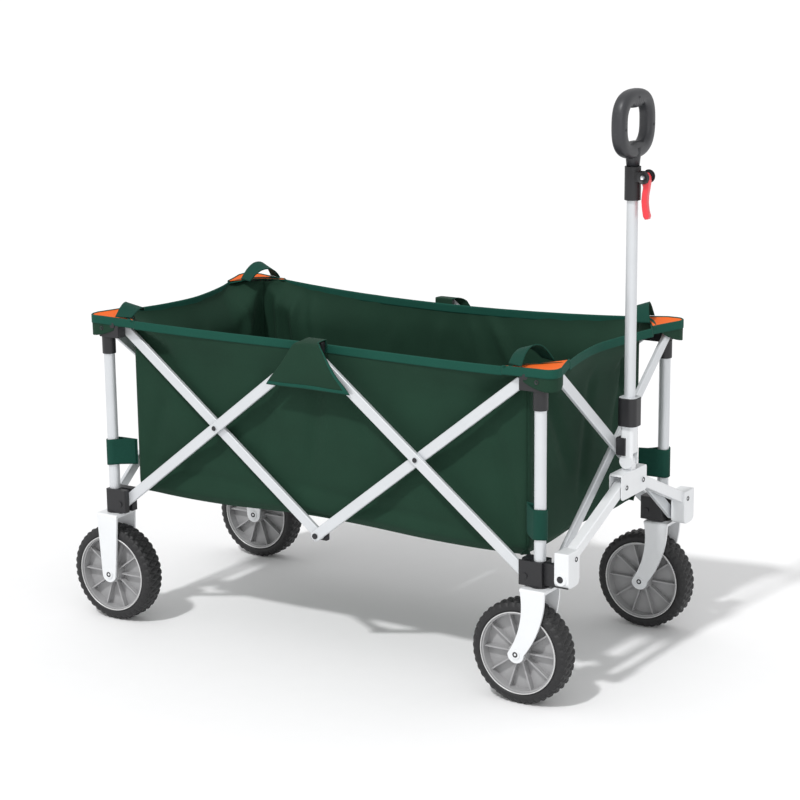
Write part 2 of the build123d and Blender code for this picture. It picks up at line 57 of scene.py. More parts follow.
def newGroup(name, inputs, outputs):
    group = bpy.data.node_groups.new(name, "ShaderNodeTree")
    for label, kind, value in inputs:
        socket = group.interface.new_socket(name=label, in_out="INPUT", socket_type=kind)
        if value is not None:
            socket.default_value = value
    for label, kind in outputs:
        group.interface.new_socket(name=label, in_out="OUTPUT", socket_type=kind)
    return group, group.nodes.new("NodeGroupInput"), group.nodes.new("NodeGroupOutput")


def mathNode(tree, operation, first, second=None, third=None, clamp=False):
    node = tree.nodes.new("ShaderNodeMath")
    node.operation = operation
    node.use_clamp = clamp
    for slot, value in zip(node.inputs, (first, second, third)):
        if value is None:
            continue
        if isinstance(value, (int, float)):
            slot.default_value = value
        else:
            tree.links.new(value, slot)
    return node.outputs[0]


def buildWeaveGroup():
    # plain weave: crossing threads that pass over and under one another
    group, source, result = newGroup(
        "threadWeave",
        [("Vector", "NodeSocketVector", None), ("Threads", "NodeSocketFloat", 900.0),
         ("Mottle", "NodeSocketFloat", 0.2)],
        [("Height", "NodeSocketFloat"), ("Tone", "NodeSocketFloat")])
    scaled = group.nodes.new("ShaderNodeVectorMath")
    scaled.operation = "SCALE"
    group.links.new(source.outputs["Vector"], scaled.inputs[0])
    group.links.new(source.outputs["Threads"], scaled.inputs["Scale"])
    axes = group.nodes.new("ShaderNodeSeparateXYZ")
    group.links.new(scaled.outputs[0], axes.inputs[0])
    warp = mathNode(group, "ABSOLUTE", mathNode(group, "SINE", mathNode(group, "MULTIPLY", axes.outputs[0], math.pi)))
    weft = mathNode(group, "ABSOLUTE", mathNode(group, "SINE", mathNode(group, "MULTIPLY", axes.outputs[1], math.pi)))
    checker = group.nodes.new("ShaderNodeTexChecker")
    checker.inputs["Scale"].default_value = 1.0
    group.links.new(scaled.outputs[0], checker.inputs["Vector"])
    over = mathNode(group, "MULTIPLY", warp, checker.outputs["Fac"])
    under = mathNode(group, "MULTIPLY", weft, mathNode(group, "SUBTRACT", 1.0, checker.outputs["Fac"]))
    group.links.new(mathNode(group, "ADD", over, under), result.inputs["Height"])
    cloud = group.nodes.new("ShaderNodeTexNoise")
    cloud.inputs["Scale"].default_value = 14.0
    cloud.inputs["Detail"].default_value = 5.0
    group.links.new(source.outputs["Vector"], cloud.inputs["Vector"])
    fleck = group.nodes.new("ShaderNodeTexNoise")
    fleck.inputs["Scale"].default_value = 420.0
    fleck.inputs["Detail"].default_value = 2.0
    group.links.new(source.outputs["Vector"], fleck.inputs["Vector"])
    both = mathNode(group, "ADD", mathNode(group, "MULTIPLY", cloud.outputs["Fac"], 0.6),
                    mathNode(group, "MULTIPLY", fleck.outputs["Fac"], 0.4))
    spread = mathNode(group, "MULTIPLY", mathNode(group, "SUBTRACT", both, 0.5), source.outputs["Mottle"])
    group.links.new(mathNode(group, "MULTIPLY_ADD", spread, 2.0, 1.0), result.inputs["Tone"])
    return group


def buildGrainGroup():
    # fine surface grain with slow drift in tone, for paint and moulded plastic
    group, source, result = newGroup(
        "surfaceGrain",
        [("Vector", "NodeSocketVector", None), ("Scale", "NodeSocketFloat", 900.0), ("Drift", "NodeSocketFloat", 0.06)],
        [("Height", "NodeSocketFloat"), ("Tone", "NodeSocketFloat"), ("Scuff", "NodeSocketFloat")])
    fine = group.nodes.new("ShaderNodeTexNoise")
    fine.inputs["Detail"].default_value = 3.0
    group.links.new(source.outputs["Vector"], fine.inputs["Vector"])
    group.links.new(source.outputs["Scale"], fine.inputs["Scale"])
    slow = group.nodes.new("ShaderNodeTexNoise")
    slow.inputs["Scale"].default_value = 22.0
    slow.inputs["Detail"].default_value = 4.0
    group.links.new(source.outputs["Vector"], slow.inputs["Vector"])
    group.links.new(fine.outputs["Fac"], result.inputs["Height"])
    lean = mathNode(group, "SUBTRACT", slow.outputs["Fac"], 0.5)
    group.links.new(mathNode(group, "MULTIPLY_ADD", mathNode(group, "MULTIPLY", lean, source.outputs["Drift"]), 2.0,
                             1.0), result.inputs["Tone"])
    scuffs = group.nodes.new("ShaderNodeTexNoise")
    scuffs.inputs["Scale"].default_value = 75.0
    scuffs.inputs["Detail"].default_value = 6.0
    scuffs.inputs["Roughness"].default_value = 0.7
    group.links.new(source.outputs["Vector"], scuffs.inputs["Vector"])
    mask = group.nodes.new("ShaderNodeMapRange")
    mask.inputs["From Min"].default_value = 0.58
    mask.inputs["From Max"].default_value = 0.72
    group.links.new(scuffs.outputs["Fac"], mask.inputs["Value"])
    group.links.new(mask.outputs["Result"], result.inputs["Scuff"])
    return group


weaveGroup = buildWeaveGroup()
grainGroup = buildGrainGroup()


def startMaterial(name):
    material = bpy.data.materials.new(name)
    material.use_nodes = True
    tree = material.node_tree
    shader = next(node for node in tree.nodes if node.type == "BSDF_PRINCIPLED")
    return material, tree, shader


def placeGroup(tree, group, vector, **values):
    node = tree.nodes.new("ShaderNodeGroup")
    node.node_tree = group
    tree.links.new(vector, node.inputs["Vector"])
    for label, value in values.items():
        node.inputs[label].default_value = value
    return node


def tintedColour(tree, colour, tone):
    mix = tree.nodes.new("ShaderNodeMix")
    mix.data_type = "RGBA"
    mix.blend_type = "MULTIPLY"
    mix.inputs["Factor"].default_value = 1.0
    mix.inputs["A"].default_value = (*colour, 1)
    tree.links.new(tone, mix.inputs["B"])
    return mix.outputs["Result"]


def blendColour(tree, factor, first, second):
    mix = tree.nodes.new("ShaderNodeMix")
    mix.data_type = "RGBA"
    tree.links.new(factor, mix.inputs["Factor"])
    for label, value in (("A", first), ("B", second)):
        if isinstance(value, tuple):
            mix.inputs[label].default_value = (*value, 1)
        else:
            tree.links.new(value, mix.inputs[label])
    return mix.outputs["Result"]


def addBump(tree, shader, height, strength, distance):
    bump = tree.nodes.new("ShaderNodeBump")
    bump.inputs["Strength"].default_value = strength
    bump.inputs["Distance"].default_value = distance
    tree.links.new(height, bump.inputs["Height"])
    tree.links.new(bump.outputs[0], shader.inputs["Normal"])


def hardMaterial(name, colour, roughness, metallic=0.0, grain=900.0, bump=0.08, drift=0.05, coat=0.0, scuffTone=None):
    material, tree, shader = startMaterial(name)
    where = tree.nodes.new("ShaderNodeTexCoord").outputs["Object"]
    grains = placeGroup(tree, grainGroup, where, Scale=grain, Drift=drift)
    base = tintedColour(tree, colour, grains.outputs["Tone"])
    if scuffTone:
        base = blendColour(tree, mathNode(tree, "MULTIPLY", grains.outputs["Scuff"], 0.35), base, scuffTone)
    tree.links.new(base, shader.inputs["Base Color"])
    tree.links.new(mathNode(tree, "MULTIPLY_ADD", grains.outputs["Scuff"], 0.12, roughness), shader.inputs["Roughness"])
    shader.inputs["Metallic"].default_value = metallic
    shader.inputs["Coat Weight"].default_value = coat
    shader.inputs["Coat Roughness"].default_value = 0.25
    addBump(tree, shader, grains.outputs["Height"], bump, 0.0004)
    return material


def clothMaterial(name, colour, threads, mottle, bump, roughness=0.80, sheen=0.04):
    material, tree, shader = startMaterial(name)
    uv = tree.nodes.new("ShaderNodeUVMap")
    uv.uv_map = "cloth"
    weave = placeGroup(tree, weaveGroup, uv.outputs[0], Threads=threads, Mottle=mottle)
    tree.links.new(tintedColour(tree, colour, weave.outputs["Tone"]), shader.inputs["Base Color"])
    shader.inputs["Roughness"].default_value = roughness
    shader.inputs["Specular IOR Level"].default_value = 0.18
    shader.inputs["Sheen Weight"].default_value = sheen
    shader.inputs["Sheen Roughness"].default_value = 0.4
    shader.inputs["Sheen Tint"].default_value = (0.5, 0.75, 0.62, 1)
    addBump(tree, shader, weave.outputs["Height"], bump, 0.0005)
    return material


def steelWithNylon(name, low, high):
    # painted tube whose stretch between two heights is a black nylon collar
    material, tree, shader = startMaterial(name)
    where = tree.nodes.new("ShaderNodeTexCoord").outputs["Object"]
    axes = tree.nodes.new("ShaderNodeSeparateXYZ")
    tree.links.new(where, axes.inputs[0])
    mask = mathNode(tree, "MULTIPLY", mathNode(tree, "GREATER_THAN", axes.outputs[2], low),
                    mathNode(tree, "LESS_THAN", axes.outputs[2], high))
    grains = placeGroup(tree, grainGroup, where, Scale=1400.0, Drift=0.05)
    metal = tintedColour(tree, paintSettings["silver"], grains.outputs["Tone"])
    nylon = tintedColour(tree, plasticSettings["black"], grains.outputs["Tone"])
    tree.links.new(blendColour(tree, mask, metal, nylon), shader.inputs["Base Color"])
    tree.links.new(mathNode(tree, "MULTIPLY_ADD", mask, 0.10, 0.36), shader.inputs["Roughness"])
    tree.links.new(mathNode(tree, "MULTIPLY_ADD", mask, -0.3, 0.3), shader.inputs["Metallic"])
    addBump(tree, shader, grains.outputs["Height"], 0.08, 0.0004)
    return material


paintSettings = {"silver": (0.62, 0.64, 0.66), "white": (0.74, 0.755, 0.77), "tube": (0.56, 0.58, 0.61)}
plasticSettings = {"black": (0.013, 0.013, 0.015), "hub": (0.34, 0.34, 0.345), "ring": (0.62, 0.62, 0.62),
                   "grip": (0.030, 0.031, 0.035), "red": (0.80, 0.030, 0.045), "rubber": (0.011, 0.011, 0.012)}
clothSettings = {"bag": (0.0100, 0.0370, 0.0215), "tape": (0.007, 0.066, 0.046),
                 "webbing": (0.006, 0.050, 0.035), "patch": (0.80, 0.130, 0.014), "board": (0.010, 0.036, 0.022)}

barPaint = hardMaterial("barPaint", paintSettings["silver"], 0.36, metallic=0.30, grain=1400.0, bump=0.10)
forkPaint = hardMaterial("forkPaint", paintSettings["white"], 0.34, metallic=0.05, grain=1200.0, coat=0.25)
tubeMetal = hardMaterial("tubeMetal", paintSettings["tube"], 0.30, metallic=0.65, grain=1600.0, bump=0.05)
blackNylon = hardMaterial("blackNylon", plasticSettings["black"], 0.48, grain=1100.0, bump=0.16,
                          scuffTone=(0.05, 0.05, 0.052))
hubPlastic = hardMaterial("hubPlastic", plasticSettings["hub"], 0.34, grain=900.0, bump=0.06, coat=0.15,
                          scuffTone=(0.42, 0.42, 0.42))
ringPlastic = hardMaterial("ringPlastic", plasticSettings["ring"], 0.35, metallic=0.3)
gripPlastic = hardMaterial("gripPlastic", plasticSettings["grip"], 0.42, grain=1300.0, bump=0.12,
                           scuffTone=(0.07, 0.07, 0.075))
redPlastic = hardMaterial("redPlastic", plasticSettings["red"], 0.32, coat=0.3, drift=0.04)
tyreRubber = hardMaterial("tyreRubber", plasticSettings["rubber"], 0.58, grain=700.0, bump=0.2, drift=0.15,
                          scuffTone=(0.04, 0.04, 0.042))
# fastener heads: dark partly in their own finish and partly as painted shade for the recesses and holes they sit in
boltSteelAndShade = hardMaterial("boltSteelAndShade", (0.045, 0.045, 0.048), 0.35, metallic=0.7)
plateSteel = hardMaterial("plateSteel", (0.55, 0.56, 0.58), 0.3, metallic=0.9)
postSteel = steelWithNylon("postSteel", 0.4995, 0.6)
bracketNylon = steelWithNylon("bracketNylon", 0.5305, 0.6)
collarTube = steelWithNylon("collarTube", 0.4315, 0.4798)
bagCloth = clothMaterial("bagCloth", clothSettings["bag"], 700.0, 0.30, 0.22)
tapeCloth = clothMaterial("tapeCloth", clothSettings["tape"], 520.0, 0.22, 0.35)
webbingCloth = clothMaterial("webbingCloth", clothSettings["webbing"], 430.0, 0.25, 0.5)
patchCloth = clothMaterial("patchCloth", clothSettings["patch"], 700.0, 0.10, 0.25)
patchCloth.node_tree.nodes["Principled BSDF"].inputs["Sheen Weight"].default_value = 0.05
boardCloth = hardMaterial("boardCloth", clothSettings["board"], 0.85, grain=700.0, bump=0.3, drift=0.2)
print("materials ready")


def paintNodes():
    rules = [("post_", postSteel), ("top_bracket_", bracketNylon), ("lower_bracket_", blackNylon), ("fork_", forkPaint),
             ("wheel_hub_", hubPlastic), ("tyre_", tyreRubber), ("side_bar_", barPaint), ("end_bar_", barPaint),
             ("top_hub_", blackNylon), ("bottom_hub_", blackNylon), ("clevis_", forkPaint), ("link_arm_", forkPaint),
             ("handle_base_tube", forkPaint), ("handle_base", forkPaint), ("handle_clip", blackNylon),
             ("handle_outer_tube", collarTube), ("handle_neck_clamp", blackNylon), ("release_lever", redPlastic),
             ("handle_inner_tube", tubeMetal), ("handle_grip", gripPlastic), ("floor_boards_", boardCloth),
             ("bag_", boardCloth)]
    for name, piece in nodes.items():
        material = next(finish for start, finish in rules if name.startswith(start))
        piece.data.materials.clear()
        piece.data.materials.append(material)


paintNodes()


def finishPiece(name, bm, material, body, smooth=True, thickness=0.0, fold=None):
    mesh = bpy.data.meshes.new(name)
    bm.to_mesh(mesh)
    bm.free()
    mesh.materials.append(material)
    for face in mesh.polygons:
        face.use_smooth = smooth
    piece = bpy.data.objects.new(name, mesh)
    bpy.context.scene.collection.objects.link(piece)
    if thickness:
        wall = piece.modifiers.new("wall", "SOLIDIFY")
        wall.thickness = thickness
        wall.offset = 0.0
    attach(piece, body)
    if fold:
        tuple(fold["axis"])
        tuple(fold["anchor"])
        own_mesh(piece)
    return piece


def clothGrid(name, columns, rows, place, flat, material, body, thickness=0.0012, fold=None):
    # place(u, v) gives the point of the cloth at u across and v along it, both from 0 to 1
    bm = bmesh.new()
    bmesh.ops.create_grid(bm, x_segments=columns, y_segments=rows, size=1.0)
    uv = bm.loops.layers.uv.new("cloth")
    for face in bm.faces:
        for loop in face.loops:
            loop[uv].uv = ((loop.vert.co.x + 1) / 2 * flat[0], (loop.vert.co.y + 1) / 2 * flat[1])
    for vert in bm.verts:
        vert.co = place((vert.co.x + 1) / 2, (vert.co.y + 1) / 2)
    return finishPiece(name, bm, material, body, thickness=thickness, fold=fold)


def smoothStep(value, low, high):
    t = min(max((value - low) / (high - low), 0.0), 1.0)
    return t * t * (3 - 2 * t)


bagSettings = {"halfLength": 0.4079, "halfWidth": 0.2040, "cornerRadius": 0.014, "rim": 0.5675, "sideDip": 0.0105,
               "endDip": 0.005,
               "hem": 0.2440, "cloth": 0.0012, "endKeep": 0.36, "sideKeep": 0.37, "floorKeep": 0.31,
               "floorEdge": -0.188, "creaseDepth": 0.0075}

# each crease runs from one point of the wall to another: across, height, across, height, half width, depth
sideCreases = [(-0.37, 0.55, -0.22, 0.33, 0.030, 0.8), (0.37, 0.55, 0.24, 0.36, 0.030, 0.7),
               (0.00, 0.52, -0.03, 0.30, 0.022, 0.7),
               (0.05, 0.50, 0.15, 0.30, 0.026, 0.6), (-0.10, 0.50, -0.16, 0.28, 0.026, 0.5),
               (-0.34, 0.42, -0.39, 0.27, 0.020, 0.7),
               (0.34, 0.45, 0.39, 0.28, 0.020, 0.7), (-0.05, 0.30, 0.28, 0.27, 0.018, 0.5),
               (-0.36, 0.30, -0.10, 0.275, 0.018, 0.5)]
cornerFolds = [(-0.372, 0.56, -0.360, 0.30, 0.011, 1.6), (-0.335, 0.55, -0.325, 0.36, 0.010, 1.3),
               (-0.30, 0.54, -0.27, 0.40, 0.014, 0.8),
               (0.10, 0.55, 0.17, 0.42, 0.018, 1.0), (0.06, 0.54, 0.12, 0.36, 0.016, 0.7)]
endCreases = [(-0.16, 0.55, -0.06, 0.36, 0.022, 0.8), (0.17, 0.55, 0.10, 0.38, 0.020, 0.8),
              (0.02, 0.50, -0.02, 0.30, 0.022, 0.6),
              (-0.18, 0.40, -0.15, 0.27, 0.014, 0.7), (0.18, 0.42, 0.14, 0.28, 0.014, 0.8),
              (0.13, 0.55, 0.16, 0.36, 0.010, 0.9)]


def creaseDepth(creases, across, height, seed):
    total = 0.0
    for startAcross, startHeight, endAcross, endHeight, halfWidth, depth in creases:
        run = Vector((endAcross - startAcross, endHeight - startHeight))
        rel = Vector((across - startAcross, height - startHeight))
        t = rel.dot(run) / run.length_squared
        if not -0.15 < t < 1.15:
            continue
        off = abs(rel.x * run.y - rel.y * run.x) / run.length
        fade = smoothStep(t, -0.15, 0.12) * (1 - smoothStep(t, 0.75, 1.15))
        total += depth * fade * math.exp(-(off / halfWidth) ** 2 * 2.2)
    broad = noise.noise(Vector((across * 5.5, height * 4.0, seed))) * 0.5
    fine = noise.noise(Vector((across * 14, height * 7.0, seed + 9))) * 0.22
    return total + 0.35 + (broad + fine) * 0.7


rimShape = {"sideOut": 0.2425, "endOut": 0.4740, "endMid": 0.4260, "sideSpan": 0.440, "endSpan": 0.215, "power": 1.6}


def rimHeight(across, span, dip):
    # the rim is highest at the posts and sags a little between them
    return bagSettings["rim"] - dip * (1 - min(abs(across) / span, 1.0) ** 2.5)


def sideRim(across):
    # how far out the rim of a side wall runs: it leans out towards the posts
    lean = min(abs(across) / rimShape["sideSpan"], 1.0) ** rimShape["power"]
    return bagSettings["halfWidth"] + (rimShape["sideOut"] - bagSettings["halfWidth"]) * lean


def endRim(across):
    lean = min(abs(across) / rimShape["endSpan"], 1.0) ** rimShape["power"]
    return rimShape["endMid"] + (rimShape["endOut"] - rimShape["endMid"]) * lean


def wallPoint(u, v, wall):
    # a point of one wall: across, outward, height; the ends turn round the corner with the next wall
    radius, halfRun, halfDepth = bagSettings["cornerRadius"], wall["halfRun"], wall["halfDepth"]
    straight = 2 * (halfRun - radius)
    arc = radius * math.pi / 4
    along = u * (straight + 2 * arc) - straight / 2 - arc
    side = 1 if along > 0 else -1
    over = abs(along) - straight / 2
    if over > 0:
        turn = over / radius
        across = side * (straight / 2 + radius * math.sin(turn))
        out = halfDepth - radius * (1 - math.cos(turn))
        normal = math.cos(turn)
    else:
        across, out, normal = along, halfDepth, 1.0
    top = rimHeight(across, wall["span"], wall["dip"])
    bottom = bagSettings["hem"] + wall["sag"] * (math.cos(across / halfRun * math.pi * 1.5) * 0.5 - 0.3)
    height = bottom + v * (top - bottom)
    keepRim = 1 - smoothStep(height, top - 0.05, top - 0.004)
    keepCorner = 1 - smoothStep(abs(across), halfRun - 0.03, halfRun - 0.002)
    inset = bagSettings["creaseDepth"] * max(creaseDepth(wall["creases"], across, height, wall["seed"]),
                                             0.0) * keepRim * (0.25 + 0.75 * keepCorner)
    tuck = 0.012 * (1 - smoothStep(v, 0.0, 0.07)) ** 2
    # above the scissor bar the cloth leans out to meet the rim
    barTop = 0.566 - (wall["barSpan"] - abs(across)) * 0.787
    clear = min(max(barTop + 0.006, top - 0.075), top - 0.010)
    lean = (wall["rimLine"](across) - halfDepth) * smoothStep(height, clear,
                                                              top) * (1 - smoothStep(abs(across), halfRun - 0.030,
                                                                                     halfRun - 0.008))
    return across, out - inset * normal - tuck + lean, height


def buildBag():
    long, wide, cloth = bagSettings["halfLength"], bagSettings["halfWidth"], bagSettings["cloth"]
    made = {}
    for side, sign in sideSigns.items():
        fold = {"axis": (1, 0, 0), "anchor": (0, sign * wide, 0.4), "keep": bagSettings["sideKeep"]}
        wall = {"halfRun": long, "halfDepth": wide, "span": rimShape["sideSpan"], "dip": bagSettings["sideDip"],
                "sag": 0.008, "seed": 3.0 + sign,
                "barSpan": 0.4215, "rimLine": sideRim, "creases": sideCreases + (cornerFolds if side == "left" else [])}

        def placeSide(u, v, sign=sign, wall=wall):
            across, out, height = wallPoint(u, v, wall)
            return Vector((across, sign * out, height))
        panel = clothGrid("bag_side_wall_" + side, 160, 64, placeSide, (2 * long, 0.325), bagCloth,
                          "top_centre_" + side, cloth, fold)
        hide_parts("bag_side_" + side)
        made["side_" + side] = panel
    for end, sign in endSigns.items():
        fold = {"axis": (0, 1, 0), "anchor": (sign * long, -wide, 0.4), "keep": bagSettings["endKeep"]}
        wall = {"halfRun": wide, "halfDepth": long, "span": rimShape["endSpan"], "dip": bagSettings["endDip"],
                "sag": 0.005, "seed": 11.0 + sign,
                "barSpan": 0.2110, "rimLine": endRim, "creases": endCreases}

        def placeEnd(u, v, sign=sign, wall=wall):
            across, out, height = wallPoint(u, v, wall)
            return Vector((sign * out, across, height))
        panel = clothGrid("bag_end_wall_" + end, 90, 64, placeEnd, (2 * wide, 0.325), bagCloth, end + "_right_top",
                          cloth, fold)
        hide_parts("bag_end_" + end)
        made["end_" + end] = panel

        def placeFloor(u, v, sign=sign):
            x = sign * (0.001 + u * (long - 0.010))
            y = (v * 2 - 1) * (wide - 0.010)
            sag = 0.0035 * math.sin(math.pi * v) * math.sin(math.pi * u) + 0.0012 * noise.noise(Vector((x * 9, y * 9,
                                                                                                        5)))
            return Vector((x, y, 0.2500 - sag))
        fold = {"axis": (0, 1, 0), "anchor": (sign * long, bagSettings["floorEdge"], 0.25),
                "keep": bagSettings["floorKeep"]}
        panel = clothGrid("bag_floor_cloth_" + end, 60, 50, placeFloor, (long - 0.010, 2 * (wide - 0.010)), bagCloth,
                          "floor_" + end, cloth, fold)
        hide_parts("bag_floor_" + end)
        made["floor_" + end] = panel
    return made


bagPanels = buildBag()
print("bag walls and floor made")


boardSettings = {"gap": 0.006, "edge": 0.0014, "seamIn": 0.009, "seamWidth": 0.0016, "seamDepth": 0.0007}


def buildBoards(end):
    # two cloth-covered boards side by side on each half of the floor
    b = boardSettings
    low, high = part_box("floor_boards_" + end)
    middle = (low.x + high.x) / 2
    bm = bmesh.new()
    for start, stop in ((low.x, middle - b["gap"] / 2), (middle + b["gap"] / 2, high.x)):
        board = bmesh.ops.create_cube(bm, size=1.0)["verts"]
        bmesh.ops.scale(bm, vec=(stop - start, high.y - low.y, high.z - low.z), verts=board)
        bmesh.ops.translate(bm, vec=((start + stop) / 2, 0, (low.z + high.z) / 2), verts=board)
    bmesh.ops.bevel(bm, geom=bm.edges[:], offset=b["edge"], segments=2, profile=0.5, affect="EDGES", material=-1)
    tops = [face for face in bm.faces if face.normal.z > 0.99]
    bmesh.ops.inset_individual(bm, faces=tops, thickness=b["seamIn"], depth=0.0)
    bmesh.ops.inset_individual(bm, faces=tops, thickness=b["seamWidth"], depth=-b["seamDepth"])
    bmesh.ops.inset_individual(bm, faces=tops, thickness=b["seamWidth"], depth=b["seamDepth"])
    fold = {"axis": (0, 1, 0), "anchor": (middle, bagSettings["floorEdge"], low.z), "keep": bagSettings["floorKeep"]}
    pair = finishPiece("floor_board_pair_" + end, bm, boardCloth, "floor_" + end, smooth=False, fold=fold)
    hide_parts("floor_boards_" + end)


for endName in endSigns:
    buildBoards(endName)
print("floor boards made")


rimSettings = {"drop": 0.0135, "stand": 0.0012, "rise": 0.0012, "sideReach": 0.3765, "endReach": 0.1530}


def tapeProfile(v):
    # over the cloth edge: v from the outer lower edge to the inner lower edge
    drop, stand, rise = rimSettings["drop"], rimSettings["stand"], rimSettings["rise"]
    if v < 0.4:
        return stand, -drop * (1 - v / 0.4)
    if v > 0.6:
        return -stand, -drop * (v - 0.6) / 0.4
    turn = (v - 0.4) / 0.2 * math.pi
    return stand * math.cos(turn), rise * math.sin(turn)


def buildRimTape():
    long, wide = bagSettings["halfLength"], bagSettings["halfWidth"]
    for side, sign in sideSigns.items():
        reach = rimSettings["sideReach"]

        def place(u, v, sign=sign):
            across = (u * 2 - 1) * reach
            off, lift = tapeProfile(v)
            ripple = 0.0005 * noise.noise(Vector((across * 30, sign, 2)))
            return Vector((across, sign * (sideRim(across) + off + ripple),
                           rimHeight(across, rimShape["sideSpan"], bagSettings["sideDip"]) + lift))
        fold = {"axis": (1, 0, 0), "anchor": (0, sign * wide, 0.4), "keep": bagSettings["sideKeep"]}
        tape = clothGrid("rim_tape_" + side, 120, 16, place, (2 * reach, 0.030), tapeCloth, "top_centre_" + side,
                         0.0008, fold)
    for end, sign in endSigns.items():
        reach = rimSettings["endReach"]

        def placeEnd(u, v, sign=sign):
            across = (u * 2 - 1) * reach
            off, lift = tapeProfile(v)
            ripple = 0.0005 * noise.noise(Vector((across * 30, sign, 7)))
            return Vector((sign * (endRim(across) + off + ripple), across,
                           rimHeight(across, rimShape["endSpan"], bagSettings["endDip"]) + lift))
        fold = {"axis": (0, 1, 0), "anchor": (sign * long, -wide, 0.4), "keep": bagSettings["endKeep"]}
        tape = clothGrid("rim_tape_" + end, 60, 16, placeEnd, (2 * reach, 0.030), tapeCloth, end + "_right_top",
                         0.0008, fold)


buildRimTape()
print("rim tape made")


capSettings = {"sideLeg": 0.098, "endLeg": 0.090, "top": 0.5688, "edge": 0.0135, "tip": 0.036, "reach": 0.064,
               "radius": 0.017,
               "loopWidth": 0.031, "sideFoot": 0.074, "footStep": (0.024, -0.066), "lean": 0.006}
loopLifts = {"front_right": 0.025, "front_left": 0.025, "rear_right": 0.015, "rear_left": 0.026}


def capOutline(t):
    # plan line of the corner's outer edge, t from the side wall (0) round the post (0.5) to the end wall (1)
    c = capSettings
    x, y, r = rimShape["endOut"], rimShape["sideOut"], c["radius"]
    if t < 0.45:
        along = x - c["sideLeg"] + (c["sideLeg"] - r) * t / 0.45
        return Vector((along, sideRim(along)))
    if t > 0.55:
        along = y - c["endLeg"] + (c["endLeg"] - r) * (1 - t) / 0.45
        return Vector((endRim(along), along))
    turn = (t - 0.45) / 0.10 * math.pi / 2
    return Vector((x - r + r * math.sin(turn), y - r + r * math.cos(turn)))


def capDrop(flat):
    # how far the pocket hangs below the rim: a rounded point, deepest at the post
    away = max(rimShape["endOut"] - flat.x, rimShape["sideOut"] - flat.y)
    near = min(max(1 - (away - capSettings["radius"] * 0.3) / capSettings["reach"], 0.0), 1.0)
    return capSettings["edge"] + (capSettings["tip"] - capSettings["edge"]) * (1 - (1 - near) ** 2.0)


def capTop(flat):
    # the corner's top follows the rim of the two walls
    sideTop = rimHeight(flat.x, rimShape["sideSpan"], bagSettings["sideDip"])
    return capSettings["top"] - (bagSettings["rim"] - sideTop)


def buildCorner(corner):
    signX, signY = cornerSigns[corner]
    body = corner + "_top"
    c = capSettings
    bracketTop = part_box("top_bracket_" + corner)[1].z
    first, last = capOutline(0.0), capOutline(1.0)

    def toCorner(x, y, z):
        return Vector((signX * x, signY * y, z))

    def innerLine(u):
        # the patch's inner edge curves in towards the post
        point = first.lerp(last, u)
        return point + Vector((0.70, 0.71)) * 0.010 * math.sin(math.pi * u)

    def placePocket(u, v):
        flat = capOutline(u)
        drop = capDrop(flat) * (1 - v)
        pull = 0.0010 * math.sin(u * 40) * (1 - v)
        return toCorner(flat.x - pull * 0.3, flat.y - pull * 0.3, capTop(flat) - drop)

    def placePatch(u, v):
        outer = capOutline(u)
        point = outer.lerp(innerLine(u), v)
        bow = math.sin(math.pi * v) * math.sin(math.pi * u)
        ripple = noise.noise(Vector((point.x * 55, point.y * 55, signX + 2 * signY)))
        height = capTop(outer) - 0.0004 - bow * (0.0020 + 0.0014 * ripple)
        return toCorner(point.x, point.y, max(height, bracketTop + 0.0009 + 0.0005 * bow * (1 + ripple)))

    def placeBinding(u, v):
        flat = capOutline(u)
        off, lift = tapeProfile(v)
        toward = (flat - Vector((0.40, 0.17))).normalized()
        return toCorner(flat.x + toward.x * off, flat.y + toward.y * off, capTop(flat) + lift)

    def placeHem(u, v):
        # narrow tape along the patch's inner edge
        point = innerLine(u) + Vector((0.68, 0.73)) * (v - 0.3) * 0.010
        return toCorner(point.x, point.y, c["top"] + 0.0012 - 0.0034 * (1 - math.sin(math.pi * u)) - 0.003 * (1 - v))

    sideFoot = Vector((rimShape["endOut"] - c["sideFoot"], sideRim(rimShape["endOut"] - c["sideFoot"]) - 0.003))
    endFoot = sideFoot + Vector(c["footStep"])

    def placeLoop(u, v):
        run = endFoot - sideFoot
        across = Vector((run.y, -run.x)).normalized()
        rise = 1 - abs(2 * u - 1) ** 2.2
        point = sideFoot + run * u + across * ((v - 0.5) * c["loopWidth"] - c["lean"] * -rise)
        tilt = 0.010 * (v - 0.5) * rise
        return toCorner(point.x, point.y, c["top"] + 0.0010 + rise * loopLifts[corner] - tilt)

    pocket = clothGrid("corner_pocket_" + corner, 90, 14, placePocket, (0.19, 0.036), bagCloth, body, 0.0012)
    patch = clothGrid("corner_patch_" + corner, 60, 20, placePatch, (0.19, 0.06), patchCloth, body, 0.0010)
    binding = clothGrid("corner_binding_" + corner, 90, 12, placeBinding, (0.19, 0.030), tapeCloth, body, 0.0008)
    hem = clothGrid("corner_hem_" + corner, 40, 6, placeHem, (0.11, 0.010), tapeCloth, body, 0.0008)
    loop = clothGrid("carry_loop_" + corner, 44, 12, placeLoop, (0.13, c["loopWidth"]), webbingCloth, body, 0.0016)


for cornerName in cornerSigns:
    buildCorner(cornerName)
print("corner pockets and loops made")


flapSettings = {"topHalf": 0.018, "bottomHalf": 0.086, "bottom": 0.4850, "over": 0.2402, "crest": 0.5672}


